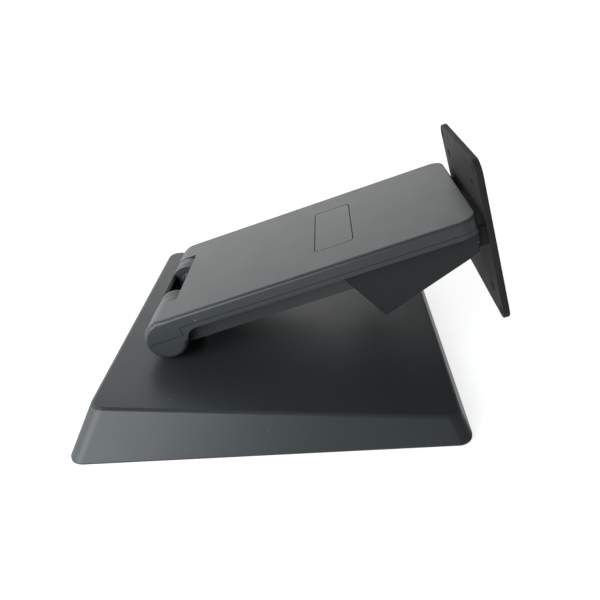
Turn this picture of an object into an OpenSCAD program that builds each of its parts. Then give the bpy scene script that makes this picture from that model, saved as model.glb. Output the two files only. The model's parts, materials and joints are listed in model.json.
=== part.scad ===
// Folding stand for a counter terminal: wedge base, hinged arm, tilting screen plate.
// Millimetres. +X is sideways, -Y is the front (towards the screen), +Z is up.
// The origin is below the middle of the whole stand, on the surface that it stands on.

/* [Base] */
// Width of the base at its foot
base_w = 258; // [250:1:270]
// Depth of the base at its foot
base_d = 242.5; // [238:0.5:250]
// Height of the moulded skirt at the rear
base_rear_h = 30; // [28:0.5:31]
// Height of the moulded skirt at the front
base_front_h = 13.6; // [13:0.2:15]
// Corner radius of the base at its foot
base_corner_r = 10; // [8:1:14]
// How far the rubber feet stand below the skirt
foot_h = 1.5; // [1:0.1:2]
// Wall of the moulded base
base_wall = 2.5; // [2:0.1:2.6]

/* [Arm] */
// Angle of the arm above the horizontal as it stands
arm_angle = 16.9; // [14:0.1:20]
// Width of the arm
arm_w = 130; // [129:0.5:132]
// Length of the arm from the rear hinge to its front edge
arm_len = 213; // [212:0.5:216]
// Wall of the arm's shells
arm_wall = 2.5; // [2.2:0.1:2.6]
// Corner radius of the arm's front, seen from above
arm_corner_r = 12; // [9:1:16]
// Radius of the round cheeks at the rear hinge
cheek_r = 14.4; // [14.2:0.1:14.8]
// Width of the gap between the cheeks
notch_w = 73.8; // [73.6:0.1:74.4]

/* [Hinges] */
// Height of the rear hinge above the skirt's lower edge
hinge_up = 43.2; // [42.8:0.1:45]
// Distance of the rear hinge from the base's rear edge
hinge_in = 51.9; // [50:0.1:54]
// Radius of the rear hinge shafts
shaft_r = 5; // [4.8:0.1:5.2]
// Radius of the tilt hinge shafts
tilt_shaft_r = 3.5; // [3.4:0.1:3.6]
// Radial running clearance of both hinges
run_gap = 0.05; // [0.02:0.01:0.1]
// Radius of the barrels between the cheeks
barrel_r = 14.1; // [13.6:0.1:14.2]
// Half width of the open cable window between the barrels
window_half = 19.5; // [18:0.5:20]

/* [Plate] */
// Side of the square screen plate
plate_size = 114; // [112:1:118]
// Thickness of the screen plate
plate_t = 4.5; // [4:0.1:5]
// Corner radius of the screen plate
plate_corner_r = 10; // [5:1:12]
// Lean of the plate away from upright as it stands
plate_lean = 14.7; // [12:0.1:16]
// Distance from the tilt hinge to the plate's rear face
plate_off = 12.3; // [12.2:0.1:13]
// Height of the tilt hinge above the plate's centre
plate_drop = 8.1; // [7.6:0.1:8.6]
// Radius of the screw holes in the plate
plate_hole_r = 2.75; // [2.3:0.05:2.8]

/* [Hidden] */
$fn = 48;

charcoal = [0.17, 0.17, 0.18];
dark_panel = [0.14, 0.14, 0.15];
black_steel = [0.11, 0.11, 0.12];
zinc = [0.66, 0.67, 0.69];
rubber_black = [0.05, 0.05, 0.05];

// Sides of the two standard square hole patterns for screens.
pattern_small = 75;
pattern_large = 100;

// Tilt hinge in the arm's own frame: along the arm, and above the rear hinge's plane.
pivot_u = 204.3;
pivot_v = -3.7;
// The same point measured level: forward of the rear hinge, and above it.
pivot_fwd = pivot_u * cos(arm_angle) - pivot_v * sin(arm_angle);
pivot_up = pivot_u * sin(arm_angle) + pivot_v * cos(arm_angle);
// Foremost point of the plate, forward of the tilt hinge.
plate_half = plate_size / 2;
plate_fwd = (plate_off + plate_t) * cos(plate_lean) + (plate_drop + plate_half) * sin(plate_lean);
// The stand's whole depth sets where the origin lies.
whole_d = hinge_in + pivot_fwd + plate_fwd;
rear_y = whole_d / 2;
hinge_y = rear_y - hinge_in;
hinge_z = foot_h + hinge_up;

// Skirt insets at the top of the base.
inset_side_rear = 14.4;
inset_side_front = 9.3;
inset_rear = 14.2;
inset_front = 6.2;
top_corner_r = 7;
top_slope = atan((base_rear_h - base_front_h) / (base_d - inset_rear - inset_front));

// Levels inside the base.
floor_z = foot_h + 0.7;
floor_t = 3;
deck_z = floor_z + floor_t;
// How far the bottom plate's edge lies inside the skirt's foot.
plate_in = 6;
// Hinge posts: half depth, outer side, then the foot and its bolts.
post_half = barrel_r - 0.3;
post_out = notch_w / 2 - 0.4;
post_foot_half = 24;
bolt_x = 28;
bolt_y = 18;
bolt_r = 2.6;
// Guard that closes the window from behind: wall, foot, and how high it wraps the barrels' outline.
guard_t = 2.2;
guard_half = window_half - 0.05;
guard_foot_t = 2;
guard_rise = 32;
// Rings around the barrels.
groove_x = [2.2, 4.6, 7.0];
groove_w = 0.6;
groove_d = 0.5;
// Rubber feet: places, radius, and the stud that holds each one.
foot_x = 108;
foot_y = [-80, 118];
foot_r = 9;
stud_r = 3.1;

// Arm levels, from the rear hinge's axis.
split_v = 6.3;
band_v = 2.9;
channel_v = -10.3;
channel_half = 55;
fillet_r = 9;
seam = 0.15;
shell_in_r = cheek_r - arm_wall;
channel_in = channel_half - arm_wall;
cheek_in = notch_w / 2 + 2.3;
notch_u = 8;
step_u = 12.3;
channel_u = 17;

// Stations along X in the two friction hinges.
ear_x = 42;
ear_t = 4;
tilt_ear_x = 47.6;
tilt_ear_t = 5.8;
tilt_ear_r = 6.2;

// Cable hatch, along the arm and across it.
hatch_u0 = 108.5;
hatch_u1 = 134.9;
hatch_half = 35.5;
hatch_gap = 0.5;

// Places of the screws that close the arm.
boss_x = 36.5;
boss_u = [52, 94, 168];
bar_u = [78, 150];
housing_screws_at = [[46.5, 143], [34.5, 178]];

// ---- Helpers -------------------------------------------------------------

// Points of a polygon moved inwards by d. The polygon runs counterclockwise.
function unit(v) = v / norm(v);
function left(e) = [-e[1], e[0]];
function inset(pts, d) = [for (i = [0:len(pts) - 1])
    let (n = len(pts),
         n1 = left(unit(pts[i] - pts[(i + n - 1) % n])),
         n2 = left(unit(pts[(i + 1) % n] - pts[i])))
    pts[i] + d * (n1 + n2) / (1 + n1 * n2)];

// Points of an arc from angle a0 to angle a1.
function arc(c, r, a0, a1, n = 10) = [for (k = [0:n])
    let (a = a0 + (a1 - a0) * k / n)
    c + r * [cos(a), sin(a)]];

// A convex counterclockwise polygon with its corners rounded to radius r.
function rounded(pts, r, n = 7) = [for (i = [0:len(pts) - 1])
    let (m = len(pts),
         e1 = unit(pts[i] - pts[(i + m - 1) % m]),
         e2 = unit(pts[(i + 1) % m] - pts[i]),
         a1 = atan2(-e1[0], e1[1]),
         turn = (atan2(-e2[0], e2[1]) - a1 + 360) % 360)
    each arc(inset(pts, r)[i], r, a1, a1 + turn, n)];

function box_points(x, y0, y1) = [[-x, y0], [x, y0], [x, y1], [-x, y1]];

// Places for the arm, the plate and the mirrored halves.
module in_arm() {
    translate([0, hinge_y, hinge_z])
        rotate([-arm_angle, 0, 0])
            children();
}

module in_head() {
    translate([0, hinge_y - pivot_fwd, hinge_z + pivot_up])
        rotate([-plate_lean, 0, 0])
            children();
}

module both_sides() {
    children();
    mirror([1, 0, 0]) children();
}

// A side outline [forward, up] given thickness from x0 to x1.
module side(pts, x0, x1) {
    translate([x0, 0, 0])
        rotate([90, 0, 90])
            linear_extrude(x1 - x0)
                polygon([for (p = pts) [-p[0], p[1]]]);
}

// A plan outline [sideways, forward] from level z0 to z1.
module plan(pts, z0, z1) {
    translate([0, 0, z0])
        linear_extrude(z1 - z0)
            polygon([for (p = pts) [p[0], -p[1]]]);
}

// A round bar along X.
module bar(r, x0, x1, u = 0, v = 0) {
    translate([x0, -u, v])
        rotate([0, 90, 0])
            cylinder(r = r, h = x1 - x0);
}

// A block given by its two corners [sideways, forward, up].
module block(a, b) {
    translate([a[0], -b[1], a[2]])
        cube([b[0] - a[0], b[1] - a[1], b[2] - a[2]]);
}

// A ring along X, for washers.
module ring(r_in, r_out, x0, x1, u = 0, v = 0) {
    difference() {
        bar(r_out, x0, x1, u, v);
        bar(r_in, x0 - 1, x1 + 1, u, v);
    }
}

// Two cupped spring washers face to face, along X.
module spring_pair(r_in, r_out, x0, t, cup) {
    for (k = [0, 1])
        translate([x0 + (k == 0 ? 0 : 2 * (t + cup)), 0, 0])
            rotate([0, k == 0 ? 90 : -90, 0])
                rotate_extrude()
                    polygon([[r_in, cup], [r_out, 0], [r_out, t], [r_in, t + cup]]);
}

// A hexagon nut along X with a round hole.
module hex_nut(r_hex, r_hole, x0, x1) {
    difference() {
        translate([x0, 0, 0]) rotate([0, 90, 0]) cylinder(r = r_hex, h = x1 - x0, $fn = 6);
        bar(r_hole, x0 - 1, x1 + 1);
    }
}

// A screw along Z: head from z0, shank up to z1.
module screw_up(head_r, head_h, shank_r, z0, z1) {
    difference() {
        translate([0, 0, z0]) cylinder(r = head_r, h = head_h);
        translate([0, 0, z0 - 0.1]) cylinder(r = head_r * 0.5, h = head_h * 0.6, $fn = 6);
    }
    translate([0, 0, z0 + head_h]) cylinder(r = shank_r, h = z1 - z0 - head_h);
}

// ---- Base ----------------------------------------------------------------

module base_outline(extra, z0, z1) {
    translate([0, 0, z0])
        linear_extrude(z1 - z0)
            polygon(rounded(box_points(base_w / 2 - extra, rear_y - base_d + extra,
                                       rear_y - extra), base_corner_r - extra));
}

// The sloped top's outline, a thin slab that hangs "down" below the top plane.
module top_outline(extra, down) {
    len_top = (base_d - inset_rear - inset_front) / cos(top_slope);
    rear_half = base_w / 2 - inset_side_rear - extra;
    front_half = base_w / 2 - inset_side_front - extra;
    pts = [[-front_half, extra - len_top], [front_half, extra - len_top],
           [rear_half, -extra], [-rear_half, -extra]];
    translate([0, rear_y - inset_rear, foot_h + base_rear_h])
        rotate([top_slope, 0, 0])
            translate([0, 0, -down - 0.2])
                linear_extrude(0.2)
                    polygon(rounded(pts, top_corner_r));
}

module base_body() {
    hull() {
        base_outline(0, foot_h, foot_h + 1.2);
        top_outline(-0.7, 1.2);
        top_outline(1.3, 0);
    }
}

module base_hollow() {
    hull() {
        base_outline(base_wall + 0.4, foot_h - 0.1, foot_h + 1);
        top_outline(base_wall + 0.6, base_wall);
    }
}

boss_places = [[-100, 100], [0, 120], [100, 100], [-104, -92], [0, -92], [104, -92]];

module base_cover() {
    color(charcoal) {
        difference() {
            base_body();
            base_hollow();
            both_sides()
                block([window_half - 0.6, -hinge_y - post_half - 0.6, deck_z],
                      [notch_w / 2 + 0.2, -hinge_y + post_half + 0.6, 60]);
            block([-window_half, -hinge_y - post_half - 0.6, deck_z],
                  [window_half, -hinge_y - post_half + guard_t + 0.6, 60]);
        }
        difference() {
            intersection() {
                base_body();
                for (p = boss_places)
                    translate([p[0], p[1], deck_z + 0.05]) cylinder(r = 4, h = 40);
            }
            for (p = boss_places)
                translate([p[0], p[1], deck_z - 1]) cylinder(r = 1.6, h = 7.5);
        }
    }
}

module base_plate() {
    color(black_steel)
        difference() {
            translate([0, 0, floor_z])
                linear_extrude(floor_t)
                    polygon(rounded(box_points(base_w / 2 - plate_in, rear_y - base_d + plate_in,
                                               rear_y - plate_in), base_corner_r));
            for (p = boss_places)
                translate([p[0], p[1], floor_z - 1]) cylinder(r = 1.8, h = 6);
            for (p = boss_places)
                translate([p[0], p[1], floor_z - 1]) cylinder(r = 3.6, h = 2.4);
            post_bolt_places() cylinder(r = bolt_r, h = 30, center = true);
            foot_places() translate([0, 0, floor_z - 1]) cylinder(r = stud_r + 0.05, h = 6);
        }
}

module weight_plate() {
    color(black_steel)
        difference() {
            translate([0, 0, deck_z + 0.1])
                linear_extrude(6)
                    polygon(rounded(box_points(88, -78, 48), 8));
            for (x = [-70, 70])
                for (y = [-62, 32])
                    translate([x, y, deck_z - 1]) cylinder(r = 3, h = 9);
        }
}

module foot_places() {
    for (x = [-foot_x, foot_x])
        for (y = foot_y)
            translate([x, y, 0]) children();
}

module rubber_feet() {
    color(rubber_black)
        foot_places() {
            rotate_extrude()
                polygon([[0, 0], [foot_r - 0.8, 0], [foot_r, 0.8], [foot_r, floor_z], [0, floor_z]]);
            translate([0, 0, floor_z]) cylinder(r = stud_r, h = floor_t + 0.6);
        }
}

module base_screws() {
    color(zinc)
        for (p = boss_places)
            translate([p[0], p[1], 0]) screw_up(3.2, 1.3, 1.5, floor_z + 0.1, deck_z + 6);
}

module post_bolt_places() {
    both_sides()
        for (y = [-bolt_y, bolt_y])
            translate([bolt_x, hinge_y + y, 0]) children();
}

// A barrel on a pedestal, bolted to the bottom plate. Fine grooves ring its inner end.
module hinge_post() {
    color(charcoal)
        difference() {
            union() {
                bar(barrel_r, window_half, post_out, -hinge_y, hinge_z);
                block([window_half, -hinge_y - post_half, deck_z], [post_out, -hinge_y + post_half, hinge_z]);
                block([window_half, -hinge_y - post_foot_half, deck_z],
                      [post_out, -hinge_y + post_foot_half, deck_z + 4]);
            }
            bar(shaft_r + 0.02, 0, 60, -hinge_y, hinge_z);
            bar(8.7, 0, window_half + 3.6, -hinge_y, hinge_z);
            for (x = groove_x)
                ring(barrel_r - groove_d, barrel_r + 1, window_half + x, window_half + x + groove_w,
                     -hinge_y, hinge_z);
            post_bolt_places() cylinder(r = bolt_r, h = 12);
        }
}

module hinge_post_right() {
    hinge_post();
}

module hinge_post_left() {
    mirror([1, 0, 0]) hinge_post();
}

// A wall between the barrels, on the foot that the rear bolts hold.
module hinge_guard() {
    foot_low = deck_z + 4.05;
    color(charcoal)
        difference() {
            union() {
                translate([0, hinge_y, hinge_z])
                    side(concat(arc([0, 0], barrel_r, 180 - guard_rise, 180, 8),
                                [[-post_half, foot_low - hinge_z], [guard_t - post_half, foot_low - hinge_z]],
                                arc([0, 0], barrel_r - guard_t, 180, 180 - guard_rise, 8)),
                         -guard_half, guard_half);
                block([-guard_half, -hinge_y - post_foot_half, foot_low],
                      [guard_half, -hinge_y - post_half + 1, foot_low + guard_foot_t]);
                block([-bolt_x - 5, -hinge_y - post_foot_half, foot_low],
                      [bolt_x + 5, -hinge_y - post_half - 0.1, foot_low + guard_foot_t]);
            }
            post_bolt_places() cylinder(r = bolt_r, h = 40);
        }
}

// The rear pair of nuts sits on the guard's foot, the front pair on the posts' own feet.
module post_bolts() {
    color(zinc)
        both_sides()
            for (k = [0, 1])
                translate([bolt_x, hinge_y + (2 * k - 1) * bolt_y, 0]) {
                    translate([0, 0, floor_z + 0.1]) cylinder(r = 2.5, h = 9.5);
                    translate([0, 0, deck_z + 4.05 + k * (guard_foot_t + 0.05)])
                        cylinder(r = 4.4, h = 3.5, $fn = 6);
                }
}

// ---- Rear friction hinge, on the base -------------------------------------

module at_hinge() {
    translate([0, hinge_y, hinge_z]) children();
}

module hinge_shafts() {
    color(zinc)
        at_hinge()
            both_sides() {
                bar(8.5, window_half + 0.2, window_half + 3.5);
                bar(shaft_r, window_half + 3, 58);
            }
}

module hinge_washers() {
    color(zinc)
        at_hinge()
            both_sides() {
                ring(shaft_r + 0.02, 10, ear_x - 1.5, ear_x - 0.3);
                ring(shaft_r + 0.02, 10, ear_x + ear_t + 0.3, ear_x + ear_t + 1.5);
            }
}

module hinge_springs() {
    color(black_steel)
        at_hinge()
            both_sides()
                spring_pair(shaft_r + 0.1, 9.2, ear_x + ear_t + 1.55, 1, 0.5);
}

module hinge_nuts() {
    color(zinc)
        at_hinge()
            both_sides()
                hex_nut(9, shaft_r + 0.02, ear_x + ear_t + 4.65, ear_x + ear_t + 10.2);
}

// ---- Arm -----------------------------------------------------------------

arm_half = arm_w / 2;
arm_box = box_points(arm_half, -cheek_r, arm_len);
arm_plan = rounded(arm_box, arm_corner_r);

// Side outline of the upper shell: round over the hinge, flat on top.
top_side = concat(arc([0, 0], cheek_r, 180 - asin(seam / cheek_r), 90, 14),
                  [[arm_len + 1, cheek_r], [arm_len + 1, split_v], [step_u, split_v], [step_u, seam]]);

// Side outline of the lower shell: cheek, hollow fillet, then the side band.
fillet_c = [sqrt(pow(cheek_r + fillet_r, 2) - pow(band_v - fillet_r, 2)), band_v - fillet_r];
fillet_a = atan2(fillet_c[1], fillet_c[0]);
bottom_side = concat([[-cheek_r, -seam]],
                     arc([0, 0], cheek_r, 181, 360 + fillet_a, 18),
                     arc(fillet_c, fillet_r, 180 + fillet_a, 90, 8),
                     [[arm_len + 1, band_v], [arm_len + 1, split_v - 2 * seam],
                      [step_u + 2 * seam, split_v - 2 * seam], [step_u + 2 * seam, -seam]]);

// The inside of the shells' outer wall, seen from above.
module shell_plan(z0, z1) {
    plan(rounded(inset(arm_box, arm_wall), arm_corner_r - arm_wall), z0, z1);
}

module hatch_plan(extra, z0, z1) {
    plan(rounded(box_points(hatch_half + extra, hatch_u0 - extra, hatch_u1 + extra), 3 + extra, 4), z0, z1);
}

module arm_top_cover() {
    color(charcoal)
        in_arm()
            difference() {
                union() {
                    difference() {
                        intersection() {
                            side(top_side, -arm_half - 1, arm_half + 1);
                            plan(arm_plan, -20, 20);
                        }
                        block([-notch_w / 2, -20, -20], [notch_w / 2, notch_u, 20]);
                        top_hollow();
                    }
                    hatch_plan(2.2, cheek_r - arm_wall - 1.2, cheek_r - 1);
                    for (u = boss_u)
                        both_sides()
                            translate([boss_x, -u, -7.6]) cylinder(r = 3.4, h = 7.6 + cheek_r - 1);
                }
                hatch_plan(hatch_gap, cheek_r - 2.1, cheek_r + 1);
                hatch_plan(-2, 0, cheek_r + 1);
                both_sides()
                    bar(shaft_r + 1.5, 30, cheek_in + 2);
                for (u = boss_u)
                    both_sides()
                        translate([boss_x, -u, -8]) cylinder(r = 1.3, h = 9);
            }
}

// The space inside the upper shell, with a wall left inside each cheek.
module top_hollow() {
    hollow_side = concat(arc([0, 0], shell_in_r, 180, 90, 14),
                         [[arm_len, shell_in_r], [arm_len, -1], [-shell_in_r, -1]]);
    difference() {
        intersection() {
            side(hollow_side, -arm_half, arm_half);
            shell_plan(-20, 20);
        }
        both_sides()
            block([notch_w / 2, -20, -20], [cheek_in, notch_u + arm_wall, 20]);
    }
}

module arm_bottom_cover() {
    color(charcoal)
        in_arm()
            difference() {
                union() {
                    difference() {
                        intersection() {
                            side(bottom_side, -arm_half - 1, arm_half + 1);
                            plan(arm_plan, -20, 20);
                        }
                        block([-notch_w / 2, -20, -20], [notch_w / 2, channel_u, 20]);
                        both_sides()
                            bar(shell_in_r, cheek_in, arm_half - arm_wall);
                    }
                    block([-channel_half, channel_u, channel_v], [channel_half, 188, band_v + 0.5]);
                    both_sides()
                        block([cheek_in, 6, channel_v], [channel_half, channel_u + 1, 0]);
                }
                bottom_hollow();
                bottom_cuts();
            }
}

// The space inside the lower shell: channel, shelf over the band, and cheeks.
module bottom_hollow() {
    both_sides()
        block([cheek_in, -1, channel_v + arm_wall], [channel_in, channel_u + 2, 20]);
    block([-channel_in, channel_u - 1, channel_v + arm_wall], [channel_in, 190, 20]);
    block([-channel_in, 180, band_v - 1], [channel_in, arm_len - arm_wall, 20]);
    intersection() {
        shell_plan(band_v + arm_wall, 20);
        block([-arm_half, 14.8, 0], [arm_half, arm_len, 20]);
    }
    both_sides()
        bar(shell_in_r, cheek_in, arm_half - arm_wall);
}

// Openings in the lower shell: shafts, screws, cable way and the slots for the tilt ears.
module bottom_cuts() {
    both_sides() {
        bar(shaft_r + 1.5, 30, cheek_in + 2);
        block([tilt_ear_x - 0.8, 196.5, 0], [tilt_ear_x + tilt_ear_t + 0.8, arm_len + 1, band_v + 0.7]);
        for (u = boss_u)
            translate([boss_x, -u, -20]) cylinder(r = 1.7, h = 20);
        for (u = boss_u)
            translate([boss_x, -u, channel_v - 1]) cylinder(r = 3.1, h = 2.35);
        housing_screw_places() translate([0, 0, -20]) cylinder(r = 1.3, h = 18);
    }
    block([-26, 156, channel_v - 1], [26, 190, channel_v + 4]);
}

module cable_hatch() {
    color(dark_panel)
        in_arm() {
            hatch_plan(0, cheek_r - 2, cheek_r);
            for (y = [-22, 22])
                for (u = [hatch_u0 + 2.3, hatch_u1 - 3.9])
                    block([y - 4, u, cheek_r - 6.5], [y + 4, u + 1.6, cheek_r - 1.5]);
        }
}

// Steel side plate, with an eye at each hinge.
module side_plate() {
    color(black_steel)
        in_arm()
            difference() {
                union() {
                    bar(11, ear_x, ear_x + ear_t);
                    side([[0, -6.4], [192, -6.4], [pivot_u, pivot_v - 6.8], [pivot_u, pivot_v + 6.8],
                          [190, 8.6], [0, 8.6]], ear_x, ear_x + ear_t);
                    bar(6.8, ear_x, ear_x + ear_t, pivot_u, pivot_v);
                }
                bar(shaft_r + run_gap, 0, 60);
                bar(tilt_shaft_r + run_gap, 0, 60, pivot_u, pivot_v);
                for (u = bar_u)
                    bar(2.1, 0, 60, u, -1.5);
            }
}

module side_plate_right() {
    side_plate();
}

module side_plate_left() {
    mirror([1, 0, 0]) side_plate();
}

module cross_bars() {
    color(black_steel)
        in_arm()
            for (u = bar_u)
                difference() {
                    bar(4, -ear_x, ear_x, u, -1.5);
                    both_sides()
                        bar(2, ear_x - 12, ear_x + 1, u, -1.5);
                }
}

module frame_screws() {
    color(zinc)
        in_arm()
            for (u = bar_u)
                both_sides() {
                    bar(2, ear_x - 10, ear_x + ear_t, u, -1.5);
                    bar(3.8, ear_x + ear_t, ear_x + ear_t + 2.2, u, -1.5);
                }
}

module arm_screws() {
    color(black_steel)
        in_arm()
            for (u = boss_u)
                both_sides()
                    translate([boss_x, -u, 0]) screw_up(2.9, 1.2, 1.2, channel_v + 0.05, 0);
}

// Side outline of the wedge box under the arm's front, counterclockwise.
housing_top = band_v - 0.2;
housing_side = [[120.9, housing_top], [140.4, -35.5], [202.2, -14.8], [209.4, -11.8], [212.4, housing_top]];
housing_half = 57.5;

module tilt_housing() {
    raised = [for (p = housing_side) p[1] > 0 ? p + [0, arm_wall + 1] : p];
    color(charcoal)
        in_arm()
            difference() {
                union() {
                    difference() {
                        side(housing_side, -housing_half, housing_half);
                        side(inset(raised, arm_wall), -channel_half - 0.2, channel_half + 0.2);
                    }
                    intersection() {
                        side(housing_side, -housing_half, housing_half);
                        housing_posts();
                    }
                }
                block([-channel_half - 0.2, 110, channel_v - 0.2], [channel_half + 0.2, 188.3, 10]);
                block([-22, 203, -9.6], [22, 220, 1.4]);
                both_sides() {
                    block([31.5, 204.5, -14], [tilt_ear_x + tilt_ear_t + 0.9, 220, 10]);
                    block([tilt_ear_x - 0.9, 196.5, -30], [tilt_ear_x + tilt_ear_t + 0.9, 220, 10]);
                    housing_screw_places() translate([0, 0, -40]) cylinder(r = 1.7, h = 40);
                    housing_screw_places() translate([0, 0, -60]) cylinder(r = 3.2, h = 60 + channel_v - 4);
                }
            }
}

module housing_screw_places() {
    for (p = housing_screws_at)
        translate([p[0], -p[1], 0]) children();
}

module housing_posts() {
    both_sides()
        housing_screw_places()
            translate([0, 0, -40]) cylinder(r = 5, h = 40 + channel_v - 0.2);
}

module housing_screws() {
    color(black_steel)
        in_arm()
            both_sides()
                housing_screw_places()
                    screw_up(2.9, 1.6, 1.2, channel_v - 5.9, channel_v + 3.4);
}

// ---- Tilting head ----------------------------------------------------------

// The plate stands in the head's frame: forward, and up from the tilt hinge.
module at_plate() {
    translate([0, -plate_off, -plate_drop])
        rotate([90, 0, 0])
            children();
}

module mounting_plate() {
    color(black_steel)
        in_head()
            at_plate()
                difference() {
                    linear_extrude(plate_t)
                        polygon(rounded(box_points(plate_half, -plate_half, plate_half), plate_corner_r));
                    for (s = [pattern_small / 2, pattern_large / 2])
                        for (x = [-s, s])
                            for (z = [-s, s])
                                translate([x, z, 0]) chamfered_hole();
                    ear_screw_places() translate([0, 0, -1]) cylinder(r = 1.7, h = plate_t + 2);
                    ear_screw_places() translate([0, 0, plate_t - 1.7]) cylinder(r1 = 1.7, r2 = 3.6, h = 1.9);
                }
}

// A screw hole with its rear edge broken, so that a tool finds it.
module chamfered_hole() {
    chamfer = 1.1;
    translate([0, 0, -1]) cylinder(r = plate_hole_r, h = plate_t + 2);
    translate([0, 0, -0.2]) cylinder(r1 = plate_hole_r + chamfer, r2 = plate_hole_r, h = chamfer);
}

module ear_screw_places() {
    both_sides()
        for (z = [-3.6, 3.6])
            translate([tilt_ear_x + tilt_ear_t / 2, plate_drop + z, 0]) children();
}

module plate_screws() {
    color(zinc)
        in_head()
            at_plate()
                ear_screw_places() {
                    difference() {
                        translate([0, 0, plate_t - 1.65]) cylinder(r1 = 1.5, r2 = 3.2, h = 1.6);
                        translate([0, 0, plate_t - 0.9]) cylinder(r = 1.2, h = 2, $fn = 6);
                    }
                    translate([0, 0, -5]) cylinder(r = 1.5, h = plate_t + 3.4);
                }
}

// A knuckle that carries the plate: a round eye and a square root.
module tilt_ear() {
    color(black_steel)
        in_head()
            difference() {
                union() {
                    bar(tilt_ear_r, tilt_ear_x, tilt_ear_x + tilt_ear_t);
                    block([tilt_ear_x, 0, -tilt_ear_r], [tilt_ear_x + tilt_ear_t, plate_off, tilt_ear_r]);
                }
                bar(tilt_shaft_r + 0.02, 0, 60);
                for (z = [-3.6, 3.6])
                    translate([tilt_ear_x + tilt_ear_t / 2, -plate_off - 1, z])
                        rotate([-90, 0, 0]) cylinder(r = 1.55, h = 6.5);
            }
}

module tilt_ear_right() {
    tilt_ear();
}

module tilt_ear_left() {
    mirror([1, 0, 0]) tilt_ear();
}

module tilt_shafts() {
    color(zinc)
        in_head()
            both_sides() {
                bar(tilt_shaft_r, 32.5, tilt_ear_x + tilt_ear_t);
                bar(5.4, tilt_ear_x + tilt_ear_t, tilt_ear_x + tilt_ear_t + 0.6);
            }
}

module tilt_washers() {
    color(zinc)
        in_head()
            both_sides() {
                ring(tilt_shaft_r + 0.02, 6.3, ear_x + ear_t + 0.3, ear_x + ear_t + 1.3);
                ring(tilt_shaft_r + 0.02, 6.3, ear_x - 1.3, ear_x - 0.3);
            }
}

module tilt_springs() {
    color(black_steel)
        in_head()
            both_sides()
                spring_pair(tilt_shaft_r + 0.1, 6, ear_x - 3.55, 0.7, 0.4);
}

module tilt_nuts() {
    color(zinc)
        in_head()
            both_sides()
                hex_nut(6.3, tilt_shaft_r + 0.02, ear_x - 8.4, ear_x - 3.6);
}

base_cover();
base_plate();
weight_plate();
rubber_feet();
base_screws();
hinge_post_right();
hinge_post_left();
hinge_guard();
post_bolts();
hinge_shafts();
hinge_washers();
hinge_springs();
hinge_nuts();
arm_top_cover();
arm_bottom_cover();
cable_hatch();
side_plate_right();
side_plate_left();
cross_bars();
frame_screws();
arm_screws();
tilt_housing();
housing_screws();
mounting_plate();
tilt_ear_right();
tilt_ear_left();
plate_screws();
tilt_shafts();
tilt_washers();
tilt_springs();
tilt_nuts();
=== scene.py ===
# %% [markdown]
# # A folding counter stand, finished in Blender
#
# The object is the stand of a counter terminal: a wedge base of moulded plastic, a flat arm that
# folds about a rear hinge, a slanted box under the arm's front, and a square steel plate that tilts
# and takes the screen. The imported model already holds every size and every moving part, so it comes
# in first as a fixed frame. The moulded covers are then modelled again with soft edges, because a
# real moulding never has a sharp one, and each finish is built from procedural nodes.

# %% Load the frame
import json
import math

import bmesh
import bpy
from mathutils import Matrix, Vector


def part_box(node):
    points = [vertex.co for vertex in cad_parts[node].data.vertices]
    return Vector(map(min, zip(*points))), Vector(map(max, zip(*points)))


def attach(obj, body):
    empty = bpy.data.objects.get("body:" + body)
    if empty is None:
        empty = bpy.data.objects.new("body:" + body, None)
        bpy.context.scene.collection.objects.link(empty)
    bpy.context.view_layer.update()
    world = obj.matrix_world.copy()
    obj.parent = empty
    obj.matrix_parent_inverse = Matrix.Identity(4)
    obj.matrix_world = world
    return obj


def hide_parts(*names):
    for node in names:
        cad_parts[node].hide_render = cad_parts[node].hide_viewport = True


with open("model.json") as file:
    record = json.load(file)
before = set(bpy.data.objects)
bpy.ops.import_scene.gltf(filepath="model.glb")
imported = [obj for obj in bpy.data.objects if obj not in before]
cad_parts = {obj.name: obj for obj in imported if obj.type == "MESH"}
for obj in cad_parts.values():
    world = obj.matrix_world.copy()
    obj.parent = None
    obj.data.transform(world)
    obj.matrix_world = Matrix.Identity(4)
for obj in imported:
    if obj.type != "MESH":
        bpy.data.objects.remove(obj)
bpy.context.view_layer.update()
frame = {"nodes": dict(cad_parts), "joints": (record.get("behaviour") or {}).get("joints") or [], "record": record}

# %% [markdown]
# ## Three places to work in
#
# The base stands level, the arm leans by its own angle about the rear hinge, and the plate leans about
# the tilt hinge. Modelling is easiest where a piece lies square, so each piece is modelled in
# millimetres in its own level place, with -Y forward. One matrix then carries it to where it belongs.
# The two hinge points come from the frame's joints.

# %% Places
MM = 0.001
ARM_ANGLE = math.radians(16.9)
PLATE_LEAN = math.radians(14.7)

joint_at = {j["name"]: Vector(j["pos_m"]) for j in frame["joints"]}
TO_METRES = Matrix.Scale(MM, 4)
LEVEL = TO_METRES
ARM = Matrix.Translation(joint_at["arm_fold"]) @ Matrix.Rotation(-ARM_ANGLE, 4, "X") @ TO_METRES
HEAD = Matrix.Translation(joint_at["plate_tilt"]) @ Matrix.Rotation(-PLATE_LEAN, 4, "X") @ TO_METRES
HINGE = Matrix.Translation(joint_at["arm_fold"]) @ TO_METRES
print("rear hinge at", joint_at["arm_fold"], "tilt hinge at", joint_at["plate_tilt"])

# %% [markdown]
# ## Helpers for modelling
#
# An operator works on whatever is selected, so every helper first clears the selection. Primitives
# are added at their size and place. Edges are picked in code, by the faces that meet at them, and
# rounded with the bevel operator. Pockets and holes are cut with a Boolean modifier that is applied
# at once, which is how a moulding's tool steel would leave them.


# %% Primitives
def clear():
    if bpy.context.mode != "OBJECT":
        bpy.ops.object.mode_set(mode="OBJECT")
    bpy.ops.object.select_all(action="DESELECT")


def use(piece):
    clear()
    piece.select_set(True)
    bpy.context.view_layer.objects.active = piece


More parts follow.
